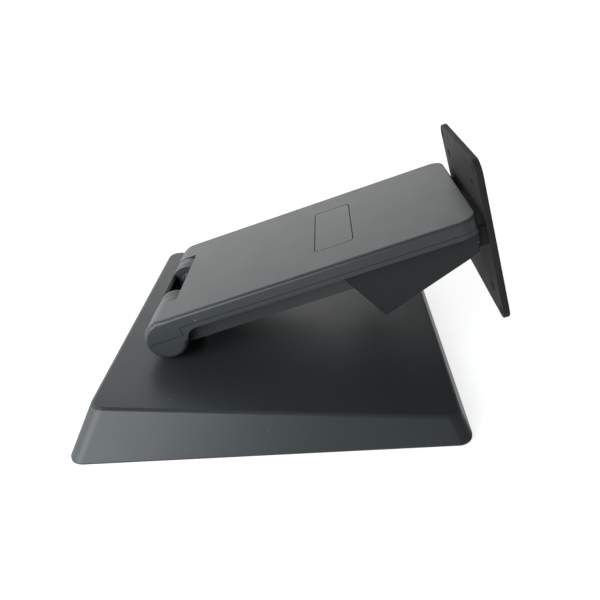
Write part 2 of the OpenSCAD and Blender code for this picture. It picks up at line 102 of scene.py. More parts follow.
def named(name):
    piece = bpy.context.object
    piece.name = name
    bpy.ops.object.transform_apply(location=True, rotation=True, scale=True)
    return piece


def block(name, low, high):
    """A cube from one corner to the other, in millimetres."""
    clear()
    low, high = Vector(low), Vector(high)
    bpy.ops.mesh.primitive_cube_add(size=1, location=(low + high) / 2)
    bpy.context.object.scale = high - low
    return named(name)


def rod(name, radius, x0, x1, y=0.0, z=0.0, sides=64):
    """A cylinder along X."""
    clear()
    bpy.ops.mesh.primitive_cylinder_add(vertices=sides, radius=radius, depth=x1 - x0,
                                        location=((x0 + x1) / 2, y, z), rotation=(0, math.pi / 2, 0))
    return named(name)


def post(name, radius, z0, z1, x=0.0, y=0.0):
    """A cylinder along Z."""
    clear()
    bpy.ops.mesh.primitive_cylinder_add(vertices=48, radius=radius, depth=z1 - z0,
                                        location=(x, y, (z0 + z1) / 2))
    return named(name)


# %% Edge picking and rounding
def pick_edges(piece, test):
    """Selects the edges for which test(edge) is true, in edit mode."""
    use(piece)
    bpy.ops.object.mode_set(mode="EDIT")
    bpy.ops.mesh.select_mode(type="EDGE")
    bpy.ops.mesh.select_all(action="DESELECT")
    mesh = bmesh.from_edit_mesh(piece.data)
    chosen = 0
    for edge in mesh.edges:
        if len(edge.link_faces) == 2 and test(edge):
            edge.select_set(True)
            chosen += 1
    bmesh.update_edit_mesh(piece.data)
    return chosen


def round_edges(piece, test, width, segments):
    """Rounds the chosen edges and reports how many there were."""
    chosen = pick_edges(piece, test)
    bpy.ops.mesh.bevel(offset=width, offset_type="OFFSET", segments=segments, profile=0.5,
                       affect="EDGES", clamp_overlap=True)
    bpy.ops.object.mode_set(mode="OBJECT")
    print(piece.name, "rounded", chosen, "edges to", width, "mm")


X_AXIS, Y_AXIS, Z_AXIS = 0, 1, 2
SHARP_TURN = math.radians(70)


def along(edge, axis):
    """True for an edge that runs along an axis."""
    a, b = (v.co for v in edge.verts)
    return abs((b - a).normalized()[axis]) > 0.999


def middle(edge):
    """The point halfway along an edge."""
    a, b = (v.co for v in edge.verts)
    return (a + b) / 2


def sharp(edge):
    """True where the two faces at an edge turn by more than the sharp angle."""
    n1, n2 = (f.normal for f in edge.link_faces)
    return n1.angle(n2) > SHARP_TURN


# %% Cutting, softening and placing
def combine(piece, other, operation="DIFFERENCE"):
    """Cuts, joins or keeps what two pieces share, then throws the second one away."""
    use(piece)
    change = piece.modifiers.new("combine", "BOOLEAN")
    change.operation = operation
    change.solver = "EXACT"
    change.object = other
    bpy.ops.object.modifier_apply(modifier=change.name)
    bpy.data.objects.remove(other)


def soften(piece, width):
    """Breaks every remaining sharp edge, since a moulding or a coated plate has none."""
    use(piece)
    edge = piece.modifiers.new("soften", "BEVEL")
    edge.width = width
    edge.segments = 2
    edge.limit_method = "ANGLE"
    edge.angle_limit = math.radians(35)
    edge.use_clamp_overlap = True
    edge.harden_normals = False
    bpy.ops.object.modifier_apply(modifier=edge.name)


def settle(piece, where):
    """Smooths the shading, keeps flat faces flat, and carries the piece to its place."""
    use(piece)
    bpy.ops.object.mode_set(mode="EDIT")
    bpy.ops.mesh.select_all(action="SELECT")
    bpy.ops.mesh.remove_doubles(threshold=0.002)
    bpy.ops.mesh.dissolve_degenerate(threshold=0.001)
    bpy.ops.object.mode_set(mode="OBJECT")
    bpy.ops.object.shade_smooth_by_angle(angle=math.radians(40))
    flat = piece.modifiers.new("flat", "WEIGHTED_NORMAL")
    flat.keep_sharp = True
    flat.weight = 80
    bpy.ops.object.modifier_apply(modifier=flat.name)
    piece.matrix_world = where
    bpy.ops.object.transform_apply(location=True, rotation=True, scale=True)


# %% [markdown]
# ## Finishes
#
# The covers are spark-eroded ABS: a charcoal plastic with a fine, even grain, slightly uneven in
# gloss, with a few specks of dust. The grain is bump from two sizes of noise, and a broad noise moves
# the colour and the roughness a little so that no surface is one flat tone. The steel plate has a
# powder coat, which is blacker and has the soft ripple of orange peel. Shafts, nuts, bolts and most
# screws are bright zinc. The spring washers and the screws of the arm's covers and the housing are
# blackened, and the feet are rubber. All patterns read Object coordinates in metres, so their size is
# real and they stay with the piece.


# %% Node helpers
def start_material(name):
    made = bpy.data.materials.new(name)
    made.use_nodes = True
    nodes, links = made.node_tree.nodes, made.node_tree.links
    shader = nodes["Principled BSDF"]
    place = nodes.new("ShaderNodeTexCoord")
    return made, nodes, links, shader, place.outputs["Object"]


def noise(nodes, links, place, scale, detail=2.0, stretch=(1, 1, 1)):
    spread = nodes.new("ShaderNodeMapping")
    spread.inputs["Scale"].default_value = stretch
    made = nodes.new("ShaderNodeTexNoise")
    made.inputs["Scale"].default_value = scale
    made.inputs["Detail"].default_value = detail
    links.new(place, spread.inputs["Vector"])
    links.new(spread.outputs["Vector"], made.inputs["Vector"])
    return made.outputs["Fac"]


def ramp(nodes, links, value, low, high, at=(0.3, 0.7)):
    """Spreads a 0 to 1 value between two colours, or two greys."""
    made = nodes.new("ShaderNodeValToRGB")
    for stop, position, colour in zip(made.color_ramp.elements, at, (low, high)):
        stop.position = position
        stop.color = (*colour, 1) if isinstance(colour, tuple) else (colour, colour, colour, 1)
    links.new(value, made.inputs["Fac"])
    return made.outputs["Color"]


def bump(nodes, links, height, depth, strength, after=None):
    made = nodes.new("ShaderNodeBump")
    made.inputs["Distance"].default_value = depth
    made.inputs["Strength"].default_value = strength
    links.new(height, made.inputs["Height"])
    if after is not None:
        links.new(after, made.inputs["Normal"])
    return made.outputs["Normal"]


# %% Moulded plastic
def moulded_plastic(name, tone, gloss, specular=0.28):
    """Charcoal ABS with a spark-eroded grain: tone is its colour, with painted shade in it for the housing; gloss
    is its middle roughness.
    """
    made, nodes, links, shader, place = start_material(name)
    broad = noise(nodes, links, place, 14, 3)
    low = tuple(c * 0.94 for c in tone)
    high = tuple(c * 1.06 for c in tone)
    body = ramp(nodes, links, broad, low, high)
    specks = nodes.new("ShaderNodeTexVoronoi")
    specks.inputs["Scale"].default_value = 55
    links.new(place, specks.inputs["Vector"])
    dust = ramp(nodes, links, specks.outputs["Distance"], 1.0, 0.0, at=(0.012, 0.03))
    mix = nodes.new("ShaderNodeMix")
    mix.data_type = "RGBA"
    mix.inputs["B"].default_value = (0.16, 0.16, 0.15, 1)
    links.new(dust, mix.inputs["Factor"])
    links.new(body, mix.inputs["A"])
    links.new(mix.outputs["Result"], shader.inputs["Base Color"])
    rough = ramp(nodes, links, noise(nodes, links, place, 60, 4), gloss - 0.015, gloss + 0.015)
    links.new(rough, shader.inputs["Roughness"])
    coarse = bump(nodes, links, noise(nodes, links, place, 700, 2), 0.0001, 0.35)
    fine = bump(nodes, links, noise(nodes, links, place, 2400, 1), 0.00006, 0.5, coarse)
    links.new(fine, shader.inputs["Normal"])
    shader.inputs["IOR"].default_value = 1.5
    shader.inputs["Specular IOR Level"].default_value = specular
    return made


# %% Powder coat, zinc, black screws, rubber
def powder_coat(name, tone):
    """Black powder coat on sheet steel, with orange peel."""
    made, nodes, links, shader, place = start_material(name)
    body = ramp(nodes, links, noise(nodes, links, place, 22, 3), tuple(c * 0.8 for c in tone),
                tuple(c * 1.25 for c in tone))
    links.new(body, shader.inputs["Base Color"])
    rough = ramp(nodes, links, noise(nodes, links, place, 90, 3), 0.6, 0.68)
    links.new(rough, shader.inputs["Roughness"])
    peel = bump(nodes, links, noise(nodes, links, place, 420, 2), 0.0002, 0.3)
    links.new(peel, shader.inputs["Normal"])
    shader.inputs["Specular IOR Level"].default_value = 0.15
    return made


def zinc_plate(name):
    """Bright zinc with faint turning marks around its pieces."""
    made, nodes, links, shader, place = start_material(name)
    body = ramp(nodes, links, noise(nodes, links, place, 180, 4), (0.42, 0.43, 0.45),
                (0.62, 0.62, 0.60))
    links.new(body, shader.inputs["Base Color"])
    marks = noise(nodes, links, place, 900, 2, stretch=(4, 1, 1))
    links.new(ramp(nodes, links, marks, 0.22, 0.42), shader.inputs["Roughness"])
    links.new(bump(nodes, links, marks, 0.00004, 0.4), shader.inputs["Normal"])
    shader.inputs["Metallic"].default_value = 1.0
    return made


def black_oxide(name):
    """Blackened spring steel and small screws, a little oily."""
    made, nodes, links, shader, place = start_material(name)
    body = ramp(nodes, links, noise(nodes, links, place, 300, 3), (0.012, 0.012, 0.014),
                (0.04, 0.038, 0.036))
    links.new(body, shader.inputs["Base Color"])
    rough = ramp(nodes, links, noise(nodes, links, place, 500, 3), 0.32, 0.5)
    links.new(rough, shader.inputs["Roughness"])
    grain = bump(nodes, links, noise(nodes, links, place, 1500), 0.00004, 0.4)
    links.new(grain, shader.inputs["Normal"])
    shader.inputs["Metallic"].default_value = 0.6
    return made


def rubber(name):
    """Moulded rubber: matt, dusty in places."""
    made, nodes, links, shader, place = start_material(name)
    body = ramp(nodes, links, noise(nodes, links, place, 120, 4), (0.012, 0.012, 0.012),
                (0.03, 0.03, 0.029))
    links.new(body, shader.inputs["Base Color"])
    rough = ramp(nodes, links, noise(nodes, links, place, 200, 3), 0.78, 0.92)
    links.new(rough, shader.inputs["Roughness"])
    grain = bump(nodes, links, noise(nodes, links, place, 1400), 0.0001, 0.5)
    links.new(grain, shader.inputs["Normal"])
    return made


# %% One material for each finish
COVER_TONE = (0.0175, 0.0205, 0.0215)
PANEL_TONE = tuple(c * 1.05 for c in COVER_TONE)
# The housing's tone is the covers' at 0.6: painted shade for the shade it sits in under the arm.
HOUSING_PAINTED_SHADE_TONE = tuple(c * 0.6 for c in COVER_TONE)
MATERIALS = {
    "moulded_body": moulded_plastic("moulded_body", COVER_TONE, 0.4),
    "moulded_panel": moulded_plastic("moulded_panel", PANEL_TONE, 0.385),
    "coated_steel": powder_coat("coated_steel", (0.008, 0.0078, 0.0076)),
    "zinc_steel": zinc_plate("zinc_steel"),
    "black_screws": black_oxide("black_screws"),
    "rubber": rubber("rubber"),
}
# The housing's finish: the cover recipe, duller, with painted shade in its colour.
HOUSING_PAINTED_SHADE_FINISH = moulded_plastic("moulded_housing_painted_shade", HOUSING_PAINTED_SHADE_TONE, 0.46, 0.14)
SLOT_OF = {s["node"]: s["material_slot"] for s in frame["record"]["subparts"]}


def finish_piece(piece, node, where, finish=None):
    """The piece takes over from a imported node: its place, its body, its slot and its finish."""
    settle(piece, where)
    body = next(b for b, nodes in frame["record"]["behaviour"]["bodies"].items() if node in nodes)
    piece.data.materials.clear()
    piece.data.materials.append(finish or MATERIALS[SLOT_OF[node]])
    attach(piece, body)
    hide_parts(node)
    low, high = (Vector(c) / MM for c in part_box(node))
    mine = [v.co / MM for v in piece.data.vertices]
    least = [round(min(v[i] for v in mine) - low[i], 2) for i in range(3)]
    most = [round(max(v[i] for v in mine) - high[i], 2) for i in range(3)]
    print(piece.name, len(piece.data.polygons), "faces; off the node's box by", least, most, "mm")


for node, thing in frame["nodes"].items():
    thing.data.materials.clear()
    thing.data.materials.append(MATERIALS[SLOT_OF[node]])

# %% [markdown]
# ## The base cover
#
# A low wedge with sloped skirts, moulded as one shell. It could be extruded from a profile, but its
# skirts lean by different amounts, so a cube is used and its two end edges at the top are pushed to
# place: both are drawn in, and the front one is lowered as well. The foot gets a short upright lip by
# extruding the underside. The corners are rounded before the top rim, so that the rim's rounding can
# run round them. Then the underside is opened and the shell is given a wall. Last come the slots for
# the hinge posts and the guard.

# %% Base cover
base_low, base_high = (Vector(c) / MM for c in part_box("base_cover"))
SKIRT_REAR = 30.0
SKIRT_FRONT = 13.6
LIP = 1.2
BASE_WALL = 2.5
INSET_SIDE = {"rear": 14.4, "front": 9.3}
INSET_END = {"rear": 14.2, "front": 6.2}
SKIRT_CORNER_R = 9.6
TOP_RIM_R = 1.9

foot_z = base_low.z
base_half = base_high.x
base = block("base_cover_shell", (-base_half, base_low.y, foot_z + LIP),
             (base_half, base_high.y, foot_z + SKIRT_REAR))


def push_top_edge(piece, end, y_end, y_step, drop):
    """Draws one top edge of the wedge in, down and narrower."""
    pick_edges(piece, lambda e: (along(e, X_AXIS) and middle(e).z > foot_z + LIP + 1
                                 and abs(middle(e).y - y_end) < 1))
    narrow = (base_half - INSET_SIDE[end]) / base_half
    bpy.ops.transform.resize(value=(narrow, 1, 1), center_override=(0, 0, 0))
    bpy.ops.transform.translate(value=(0, y_step * INSET_END[end], -drop))
    bpy.ops.object.mode_set(mode="OBJECT")


push_top_edge(base, "rear", base_high.y, -1, 0)
push_top_edge(base, "front", base_low.y, 1, SKIRT_REAR - SKIRT_FRONT)


def pick_faces(piece, test):
    """Selects the faces for which test(face) is true, in edit mode."""
    use(piece)
    bpy.ops.object.mode_set(mode="EDIT")
    bpy.ops.mesh.select_mode(type="FACE")
    bpy.ops.mesh.select_all(action="DESELECT")
    mesh = bmesh.from_edit_mesh(piece.data)
    for face in mesh.faces:
        face.select_set(test(face))
    bmesh.update_edit_mesh(piece.data)


pick_faces(base, lambda f: f.normal.z < -0.9)
bpy.ops.mesh.extrude_region_move(TRANSFORM_OT_translate={"value": (0, 0, -LIP)})
bpy.ops.object.mode_set(mode="OBJECT")


def corner(edge):
    """True for a leaning corner edge between two skirts."""
    n1, n2 = (f.normal for f in edge.link_faces)
    return abs(n1.z) < 0.8 and abs(n2.z) < 0.8 and n1.angle(n2) > 0.9


round_edges(base, corner, SKIRT_CORNER_R, 8)


def top_rim(edge):
    """True where the top meets a skirt or a rounded corner."""
    n1, n2 = (f.normal for f in edge.link_faces)
    return max(n1.z, n2.z) > 0.95 and min(n1.z, n2.z) < 0.8


round_edges(base, top_rim, TOP_RIM_R, 4)

# %% Open the base and cut the slots for the hinge posts and the guard
pick_faces(base, lambda f: f.normal.z < -0.9)
bpy.ops.mesh.delete(type="FACE")
bpy.ops.object.mode_set(mode="OBJECT")
use(base)
wall = base.modifiers.new("wall", "SOLIDIFY")
wall.thickness = BASE_WALL
wall.offset = -1
wall.use_even_offset = True
bpy.ops.object.modifier_apply(modifier=wall.name)

hinge_mm = joint_at["arm_fold"] / MM
POST_IN, POST_OUT = 19.5, 36.1
POST_HALF = 13.8
GUARD_T = 2.2
SLOT_GAP = 0.6
SLOT_LOW, SLOT_HIGH = 12, 50
slot_rear = hinge_mm.y + POST_HALF + SLOT_GAP
for side in (-1, 1):
    xs = sorted((side * (POST_IN - SLOT_GAP), side * (POST_OUT + SLOT_GAP)))
    combine(base, block("slot", (xs[0], hinge_mm.y - POST_HALF - SLOT_GAP, SLOT_LOW),
                        (xs[1], slot_rear, SLOT_HIGH)))
combine(base, block("guard_slot", (-POST_IN, hinge_mm.y + POST_HALF - GUARD_T - SLOT_GAP, SLOT_LOW),
                    (POST_IN, slot_rear, SLOT_HIGH)))
finish_piece(base, "base_cover", LEVEL)

# %% [markdown]
# ## The arm's upper cover
#
# A long flat lid that turns down over the hinge in two round cheeks. The round end is a wide bevel of
# one cube edge, and the front corners are rounded next. The rim's rounding is a bevel whose width
# follows a weight on each edge: full along the sides and down over the cheeks, and about a third of
# that at the front, as on the moulding. The lid starts deeper than it ends up, so that the rounding has
# room, and is then cut level at the seam. It is stepped where it meets the lower cover, hollowed from
# below, and notched between the cheeks.

# %% Arm upper cover
ARM_HALF = 65.0
ARM_LEN = 213.0
CHEEK_R = 14.4
ARM_WALL = 2.5
SPLIT = 6.3
SEAM = 0.15
NOTCH_HALF = 36.9
NOTCH_Y = -8.0
STEP_Y = -12.3
CORNER_R = 12.0
EDGE_R = 3.0
FRONT_SHARE = 0.35
LID_BOTTOM = -8
BEYOND = 80
INNER_R = CHEEK_R - ARM_WALL
CHEEK_IN = NOTCH_HALF + 2.3


def round_rim(lid, bottom, taper_y, taper, edge_r):
    """Rounds the rim: in full along the sides and cheeks, and less and less round the front corners."""
    use(lid)
    lid.data.attributes.new("bevel_weight_edge", "FLOAT", "EDGE")
    mesh = bmesh.new()
    mesh.from_mesh(lid.data)
    weight = mesh.edges.layers.float["bevel_weight_edge"]
    for edge in mesh.edges:
        if sharp(edge) and middle(edge).z > bottom + 0.01:
            past = min(1.0, max(0.0, (taper_y - middle(edge).y) / taper))
            edge[weight] = 1 - (1 - FRONT_SHARE) * past
    mesh.to_mesh(lid.data)
    mesh.free()
    change = lid.modifiers.new("rim", "BEVEL")
    change.limit_method = "WEIGHT"
    change.width = edge_r
    change.segments = 5
    bpy.ops.object.modifier_apply(modifier=change.name)


def rounded_lid(name, half, y_front, y_rear, top, bottom, round_r, corner_r, edge_r=0.0):
    """A flat slab whose rear turns down in a quarter round."""
    lid = block(name, (-half, y_front, bottom), (half, y_rear, top))
    round_edges(lid, lambda e: (along(e, X_AXIS) and middle(e).z > top - 0.01
                                and middle(e).y > y_rear - 0.01), round_r, 14)
    round_edges(lid, lambda e: along(e, Z_AXIS) and abs(middle(e).y - y_front) < 0.01, corner_r, 8)
    if edge_r:
        round_rim(lid, bottom, y_front + corner_r, corner_r, edge_r)
    return lid


top = rounded_lid("arm_top_shell", ARM_HALF, -ARM_LEN, CHEEK_R, CHEEK_R, LID_BOTTOM, CHEEK_R,
                  CORNER_R, EDGE_R)
combine(top, block("lower_part", (-BEYOND, -ARM_LEN - 5, -12), (BEYOND, 30, SEAM)))
combine(top, block("step", (-BEYOND, -ARM_LEN - 5, -5), (BEYOND, STEP_Y, SPLIT)))
hollow = rounded_lid("hollow", ARM_HALF - ARM_WALL, -ARM_LEN + ARM_WALL, INNER_R, INNER_R, -4,
                     INNER_R, CORNER_R - ARM_WALL)
for side in (-1, 1):
    xs = sorted((side * NOTCH_HALF, side * CHEEK_IN))
    combine(hollow, block("keep", (xs[0], NOTCH_Y - ARM_WALL, -10), (xs[1], 30, 30)))
combine(top, hollow)
combine(top, block("notch", (-NOTCH_HALF, NOTCH_Y, -10), (NOTCH_HALF, 30, 30)))

# %% [markdown]
# The hatch sits in a rounded pocket with a ledge under it. The pocket and the panel are the same
# shape, grown or shrunk by the gap between them, so one function makes both. Screw bosses hang under
# the lid, and each cheek has a hole for the hinge's shaft.

# %% Hatch pocket, bosses and shaft holes
HATCH = {"half": 35.5, "front": -134.9, "rear": -108.5, "corner": 3.0}
HATCH_GAP = 0.5
LEDGE = 2.2
BOSS_X = 36.5
BOSS_Y = (-52.0, -94.0, -168.0)
BOSS_R, PILOT_R = 3.4, 1.3
SHAFT_HOLE_R = 6.5
SHAFT_FROM = 30


def hatch_block(name, grow, z0, z1):
    slab = block(name, (-HATCH["half"] - grow, HATCH["front"] - grow, z0),
                 (HATCH["half"] + grow, HATCH["rear"] + grow, z1))
    round_edges(slab, lambda e: along(e, Z_AXIS), HATCH["corner"] + grow, 5)
    return slab


combine(top, hatch_block("ledge", LEDGE, INNER_R - 1.2, INNER_R + 1), "UNION")
combine(top, hatch_block("pocket", HATCH_GAP, CHEEK_R - 2.1, CHEEK_R + 2))
combine(top, hatch_block("opening", -2.0, 0, CHEEK_R + 2))
for side in (-1, 1):
    for y in BOSS_Y:
        combine(top, post("boss", BOSS_R, -7.6, INNER_R + 1, side * BOSS_X, y), "UNION")
        combine(top, post("pilot", PILOT_R, -8, 1, side * BOSS_X, y))
    xs = sorted((side * SHAFT_FROM, side * (CHEEK_IN + 2)))
    combine(top, rod("shaft_hole", SHAFT_HOLE_R, *xs))
soften(top, 0.35)
finish_piece(top, "arm_top_cover", ARM)

# %% Hatch panel
HOOK = {"x": 22, "half": 4, "thick": 1.6}
panel = hatch_block("hatch_panel", 0, CHEEK_R - 2, CHEEK_R)
round_edges(panel, lambda e: middle(e).z > CHEEK_R - 0.01, 0.3, 2)
for x in (-HOOK["x"], HOOK["x"]):
    for y in (HATCH["rear"] - 3.9, HATCH["front"] + 2.3):
        combine(panel, block("hook", (x - HOOK["half"], y, CHEEK_R - 6.5),
                             (x + HOOK["half"], y + HOOK["thick"], CHEEK_R - 1.5)), "UNION")
finish_piece(panel, "cable_hatch", ARM)

# %% [markdown]
# ## The arm's lower cover
#
# It starts as a thin band that repeats the lid's outline, so that the two shells meet in one shadow
# line. Under the band hangs a narrower channel, and at the rear two half-round cheeks complete the
# upper cover's. A hollow fillet joins each cheek to the band: it is a block with a cylinder taken
# out of it. A short link joins each cheek to the channel. Everything inside is then cut away.

# %% Arm lower cover: outside
BAND = 2.9
CHANNEL_Z = -10.3
CHANNEL_HALF = 55.0
CHANNEL_Y = -17.0
FILLET_R = 9.0
BAND_TOP = SPLIT - 2 * SEAM
band_rear = STEP_Y - 2 * SEAM

fillet_z = BAND - FILLET_R
fillet_y = -math.sqrt((CHEEK_R + FILLET_R) ** 2 - fillet_z ** 2)

lower = block("arm_bottom_shell", (-ARM_HALF, -ARM_LEN, BAND), (ARM_HALF, band_rear, BAND_TOP))
round_edges(lower, lambda e: along(e, Z_AXIS) and middle(e).y < -ARM_LEN + 1, CORNER_R, 8)
for side in (-1, 1):
    xs = sorted((side * NOTCH_HALF, side * ARM_HALF))
    cheek = rod("cheek", CHEEK_R, *xs, sides=96)
    round_edges(cheek, lambda e: abs(abs(middle(e).x) - ARM_HALF) < 0.01 and not along(e, X_AXIS),
                EDGE_R, 5)
    web_low = fillet_z * CHEEK_R / (CHEEK_R + FILLET_R)
    web = block("web", (xs[0], fillet_y, web_low), (xs[1], -8, BAND_TOP))
    combine(web, rod("fillet", FILLET_R, -BEYOND, BEYOND, fillet_y, fillet_z, sides=96))
    combine(cheek, web, "UNION")
    combine(cheek, block("upper_half", (xs[0] - 1, band_rear, -SEAM), (xs[1] + 1, 20, 20)))
    combine(lower, cheek, "UNION")
    xs = sorted((side * CHEEK_IN, side * CHANNEL_HALF))
    combine(lower, block("link", (xs[0], CHANNEL_Y - 1, CHANNEL_Z), (xs[1], -6, 0)), "UNION")
    xs = sorted((side * CHEEK_IN, side * (ARM_HALF - ARM_WALL)))
    combine(lower, rod("cheek_hollow", INNER_R, *xs))
combine(lower, block("channel", (-CHANNEL_HALF, -188, CHANNEL_Z),
                     (CHANNEL_HALF, CHANNEL_Y, BAND + 0.5)), "UNION")

# %% Arm lower cover: inside
channel_in = CHANNEL_HALF - ARM_WALL
floor_z = CHANNEL_Z + ARM_WALL
combine(lower, block("channel_hollow", (-channel_in, -190, floor_z),
                     (channel_in, CHANNEL_Y + 1, 20)))
combine(lower, block("front_hollow", (-channel_in, -ARM_LEN + ARM_WALL, BAND - 1),
                     (channel_in, -180, 20)))
shelf = block("shelf_hollow", (-ARM_HALF + ARM_WALL, -ARM_LEN + ARM_WALL, BAND + ARM_WALL),
              (ARM_HALF - ARM_WALL, -14.8, 20))
round_edges(shelf, lambda e: along(e, Z_AXIS) and middle(e).y < -ARM_LEN + 5, CORNER_R - ARM_WALL, 8)
combine(lower, shelf)
EAR_IN, EAR_OUT = 47.6, 53.4
SCREW_R = 1.7
for side in (-1, 1):
    xs = sorted((side * CHEEK_IN, side * channel_in))
    combine(lower, block("side_way", (xs[0], CHANNEL_Y - 2, floor_z), (xs[1], 1, 20)))
    xs = sorted((side * SHAFT_FROM, side * (CHEEK_IN + 2)))
    combine(lower, rod("shaft_hole", SHAFT_HOLE_R, *xs))
    xs = sorted((side * (EAR_IN - 0.8), side * (EAR_OUT + 0.8)))
    combine(lower, block("ear_slot", (xs[0], -ARM_LEN - 1, 0), (xs[1], -196.5, BAND + 0.7)))
    for y in BOSS_Y:
        combine(lower, post("screw_hole", SCREW_R, -20, 0, side * BOSS_X, y))
        combine(lower, post("screw_recess", 3.1, CHANNEL_Z - 1, CHANNEL_Z + 1.35, side * BOSS_X, y))
combine(lower, block("cable_drop", (-26, -190, CHANNEL_Z - 1), (26, -156, CHANNEL_Z + 4)))
soften(lower, 0.35)
finish_piece(lower, "arm_bottom_cover", ARM)

# %% [markdown]
# ## The tilt housing
#
# A slanted box under the arm's front. Its side outline has five corners, so a cube is sliced along
# each slanted line with the bisect operator, which also closes the cut. The same slices, moved in by
# the wall, give the hollow. The slanted floor is what leaves the plate room to swing under the arm.
# Its colour is painted darker than the covers', as painted shade for the shade under the arm, and it is duller, so
# its finish is the same recipe with other values.

# %% Tilt housing
HOUSING_HALF = 57.5
HOUSING_TOP = BAND - 0.2
HOUSING_OUTLINE = [(-120.9, HOUSING_TOP), (-140.4, -35.5), (-202.2, -14.8), (-209.4, -11.8),
                   (-212.4, HOUSING_TOP)]


def slanted_box(name, half, wall=0.0, raise_top=0.0):
    """The housing's outline made solid, moved in by a wall's thickness."""
    solid = block(name, (-half, -215, -38), (half, -115, HOUSING_TOP + raise_top))
    for (y0, z0), (y1, z1) in zip(HOUSING_OUTLINE, HOUSING_OUTLINE[1:]):
        run = Vector((0, y1 - y0, z1 - z0)).normalized()
        out = Vector((1, 0, 0)).cross(run)
        use(solid)
        bpy.ops.object.mode_set(mode="EDIT")
        bpy.ops.mesh.select_all(action="SELECT")
        bpy.ops.mesh.bisect(plane_co=Vector((0, y0, z0)) - out * wall, plane_no=out, use_fill=True,
                            clear_outer=True)
        bpy.ops.object.mode_set(mode="OBJECT")
    return solid


housing = slanted_box("tilt_housing_shell", HOUSING_HALF)
round_edges(housing, lambda e: middle(e).z < HOUSING_TOP - 0.1, 0.9, 3)
HOUSING_SCREWS = [(46.5, -143.0), (34.5, -178.0)]
inner = CHANNEL_HALF + 0.2
combine(housing, slanted_box("housing_hollow", inner, ARM_WALL, 4))
for side in (-1, 1):
    for x, y in HOUSING_SCREWS:
        pillar = post("pillar", 5, -40, CHANNEL_Z - 0.2, side * x, y)
        combine(pillar, slanted_box("keep", HOUSING_HALF), "INTERSECT")
        combine(housing, pillar, "UNION")
combine(housing, block("channel_room", (-inner, -188.3, CHANNEL_Z - 0.2), (inner, -110, 10)))
combine(housing, block("outlet", (-22, -220, -9.6), (22, -203, 1.4)))
for side in (-1, 1):
    xs = sorted((side * 31.5, side * (EAR_OUT + 0.9)))
    combine(housing, block("hinge_room", (xs[0], -220, -14), (xs[1], -204.5, 10)))
    xs = sorted((side * (EAR_IN - 0.9), side * (EAR_OUT + 0.9)))
    combine(housing, block("ear_room", (xs[0], -220, -30), (xs[1], -196.5, 10)))
    for x, y in HOUSING_SCREWS:
        combine(housing, post("screw_way", SCREW_R, -40, 0, side * x, y))
        combine(housing, post("head_way", 3.2, -60, CHANNEL_Z - 4, side * x, y))
soften(housing, 0.3)
# The housing takes its own finish, whose darker colour is painted shade.
finish_piece(housing, "tilt_housing", ARM, HOUSING_PAINTED_SHADE_FINISH)

# %% [markdown]
# ## The hinge posts
#
# Each post is a barrel between the arm's cheeks, carried on a square pedestal from the bottom plate.
# The barrel has fine rings near its inner end. They are made as a turner would: a disc is extruded
# step by step, and drawn in for each groove.

# %% Hinge posts
BARREL_R = 14.1
GROOVES = (2.2, 4.6, 7.0)
GROOVE_W = 0.6
GROOVE_D = 0.5
FOOT_HALF = 24
FOOT_T = 4
BOLT_X, BOLT_Y = 28, 18
BOLT_HOLE_R = 2.6
BORE_R = 5.02
deck_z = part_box("base_plate")[1].z / MM


def barrel(name):
    """A disc extruded along X, with a groove at each step."""
    clear()
    bpy.ops.mesh.primitive_circle_add(vertices=96, radius=BARREL_R, fill_type="NGON",
                                      location=(POST_IN, 0, 0), rotation=(0, math.pi / 2, 0))
    turned = named(name)
    use(turned)
    bpy.ops.object.mode_set(mode="EDIT")
    bpy.ops.mesh.select_all(action="SELECT")
    at, radius = 0.0, BARREL_R
    stops = [(g + w, r) for g in GROOVES for w, r in ((0, BARREL_R - GROOVE_D), (GROOVE_W, BARREL_R))]
    for distance, next_r in stops + [(POST_OUT - POST_IN, None)]:
        bpy.ops.mesh.extrude_region_move(TRANSFORM_OT_translate={"value": (distance - at, 0, 0)})
        at = distance
        if next_r:
            bpy.ops.mesh.extrude_region_move(TRANSFORM_OT_translate={"value": (0, 0, 0)})
            ratio = next_r / radius
            bpy.ops.transform.resize(value=(1, ratio, ratio), center_override=(POST_IN + at, 0, 0))
            radius = next_r
    bpy.ops.mesh.select_all(action="SELECT")
    bpy.ops.mesh.normals_make_consistent(inside=False)
    bpy.ops.object.mode_set(mode="OBJECT")
    return turned


for side, node in ((1, "hinge_post_right"), (-1, "hinge_post_left")):
    hinge_post = barrel(node + "_turned")
    low_z = deck_z - hinge_mm.z
    pedestal = block("pedestal", (POST_IN, -POST_HALF, low_z), (POST_OUT, POST_HALF, 0))
    combine(pedestal, block("foot", (POST_IN, -FOOT_HALF, low_z),
                            (POST_OUT, FOOT_HALF, low_z + FOOT_T)), "UNION")
    combine(hinge_post, pedestal, "UNION")
    combine(hinge_post, rod("bore", BORE_R, 0, 60))
    combine(hinge_post, rod("head_recess", 8.7, 0, POST_IN + 3.6))
    for y in (-BOLT_Y, BOLT_Y):
        combine(hinge_post, post("bolt_hole", BOLT_HOLE_R, low_z - 5, low_z + 7, BOLT_X, y))
    soften(hinge_post, 0.25)
    if side < 0:
        use(hinge_post)
        bpy.ops.object.mode_set(mode="EDIT")
        bpy.ops.mesh.select_all(action="SELECT")
        bpy.ops.transform.mirror(constraint_axis=(True, False, False), center_override=(0, 0, 0))
        bpy.ops.mesh.normals_make_consistent(inside=False)
        bpy.ops.object.mode_set(mode="OBJECT")
    finish_piece(hinge_post, node, HINGE)

# %% [markdown]
# ## The hinge guard
#
# A wall behind the cable window keeps dust and fingers out. Its top wraps the barrels' outline, so
# from outside the barrels look like one tube with a window in it. The wrap is an arc: a narrow face
# is placed on the outline and turned about the hinge with the spin operator. The foot below is held
# by the posts' rear bolts.

